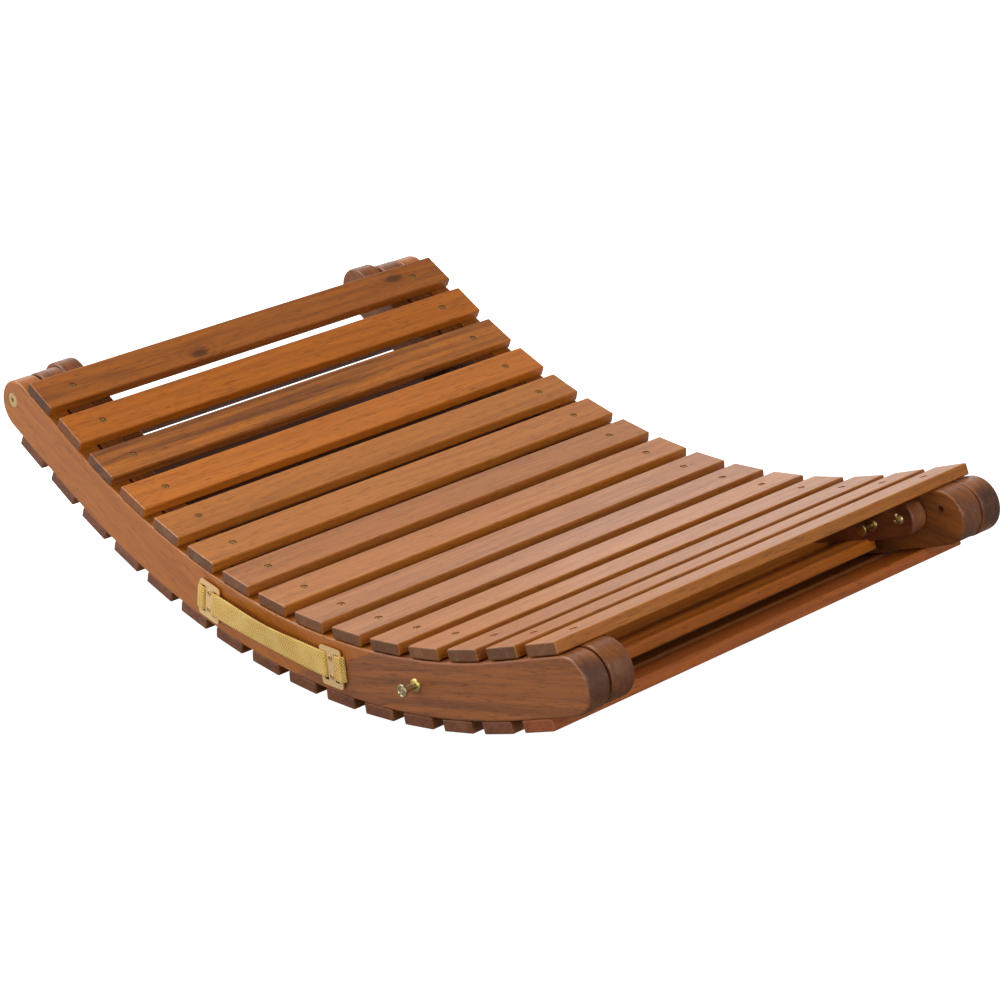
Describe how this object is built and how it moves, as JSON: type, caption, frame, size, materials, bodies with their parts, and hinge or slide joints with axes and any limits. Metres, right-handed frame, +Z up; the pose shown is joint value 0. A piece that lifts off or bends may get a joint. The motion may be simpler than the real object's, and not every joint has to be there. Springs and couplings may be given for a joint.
{
  "type": "folding sun lounger",
  "caption": "Curved slatted wooden sun lounger shown folded flat: nested back and leg frames on an end hinge, fold-away headrest and prop legs, lock pins and a webbing carrying strap.",
  "frame": {"origin": "middle of the underside slat that the folded lounger stands on, on the ground", "axes": "+X along the lounger from the hinge towards the free end, -Y the side with the carrying strap, +Z up"},
  "size_m": [0.9766, 0.639, 0.2089],
  "materials": {
    "seat_wood": "oiled, softly rounded edges",
    "leg_wood": "oiled",
    "rail_wood": "oiled",
    "dark_wood": "oiled",
    "brass": "plain, lightly worn",
    "webbing": "woven"
  },
  "bodies": {
    "back_frame": {"back_rail_near": "rail_wood", "back_rail_far": "rail_wood", "back_slat_01": "seat_wood", "back_slat_02": "seat_wood", "back_slat_03": "seat_wood", "back_slat_04": "seat_wood", "back_slat_05": "seat_wood", "back_slat_06": "seat_wood", "back_slat_07": "seat_wood", "back_slat_08": "seat_wood", "back_slat_09": "seat_wood", "back_slat_10": "seat_wood", "back_slat_11": "seat_wood", "back_slat_12": "seat_wood", "back_slat_13": "seat_wood", "back_slat_14": "seat_wood", "back_slat_15": "seat_wood", "back_slat_screws": "brass", "hinge_sleeves": "brass", "hinge_bolts": "brass", "headrest_pivot_screws": "brass"},
    "leg_frame": {"leg_rail_near_hinge_half": "rail_wood", "leg_rail_near_foot_half": "dark_wood", "leg_rail_far_hinge_half": "rail_wood", "leg_rail_far_foot_half": "dark_wood", "leg_slat_01": "leg_wood", "leg_slat_02": "leg_wood", "leg_slat_03": "leg_wood", "leg_slat_04": "leg_wood", "leg_slat_05": "leg_wood", "leg_slat_06": "leg_wood", "leg_slat_07": "leg_wood", "leg_slat_08": "leg_wood", "leg_slat_09": "leg_wood", "leg_slat_10": "leg_wood", "leg_slat_11": "leg_wood", "leg_slat_12": "leg_wood", "leg_slat_13": "leg_wood", "leg_slat_14": "leg_wood", "leg_slat_15": "leg_wood", "leg_slat_screws": "brass", "strap_brackets": "brass", "bracket_screws": "brass", "carry_strap": "webbing", "frame_pin_bushes": "brass"},
    "prop_leg": {"prop_leg_near": "rail_wood", "prop_leg_far": "rail_wood", "prop_leg_crossbar": "rail_wood"},
    "headrest": {"headrest_bar_near": "rail_wood", "headrest_bar_far": "rail_wood", "headrest_slat_1": "seat_wood", "headrest_slat_2": "seat_wood", "headrest_slat_3": "seat_wood", "headrest_slat_4": "seat_wood", "headrest_pin_bushes": "brass"},
    "frame_lock_pin_near": {"frame_lock_pin_near": "brass"},
    "frame_lock_pin_far": {"frame_lock_pin_far": "brass"},
    "headrest_lock_pin_near": {"headrest_lock_pin_near": "brass"},
    "headrest_lock_pin_far": {"headrest_lock_pin_far": "brass"}
  },
  "joints": [
    {"name": "frame_fold", "type": "hinge", "parent": "back_frame", "child": "leg_frame", "pos_m": [-0.45599, 0, 0.16329], "axis": [0, 1, 0], "range_deg": [0, 180]},
    {"name": "prop_leg_swing", "type": "hinge", "parent": "back_frame", "child": "prop_leg", "pos_m": [-0.45599, 0, 0.16329], "axis": [0, 1, 0], "range_deg": [0, 65]},
    {"name": "headrest_flip", "type": "hinge", "parent": "back_frame", "child": "headrest", "pos_m": [0.42517, 0, 0.16259], "axis": [0, -1, 0], "range_deg": [0, 177]},
    {"name": "frame_lock_near", "type": "slide", "parent": "leg_frame", "child": "frame_lock_pin_near", "axis": [0, 1, 0], "range_m": [0, 0.013]},
    {"name": "headrest_lock_near", "type": "slide", "parent": "headrest", "child": "headrest_lock_pin_near", "axis": [0, -1, 0], "range_m": [0, 0.013]},
    {"name": "frame_lock_far", "type": "slide", "parent": "leg_frame", "child": "frame_lock_pin_far", "axis": [0, -1, 0], "range_m": [0, 0.013]},
    {"name": "headrest_lock_far", "type": "slide", "parent": "headrest", "child": "headrest_lock_pin_far", "axis": [0, 1, 0], "range_m": [0, 0.013]}
  ],
  "couplings": [
    {"joint": "prop_leg_swing", "follows": "frame_fold", "ratio": 0.361},
    {"joint": "headrest_flip", "follows": "frame_fold", "ratio": 0.9833}
  ]
}
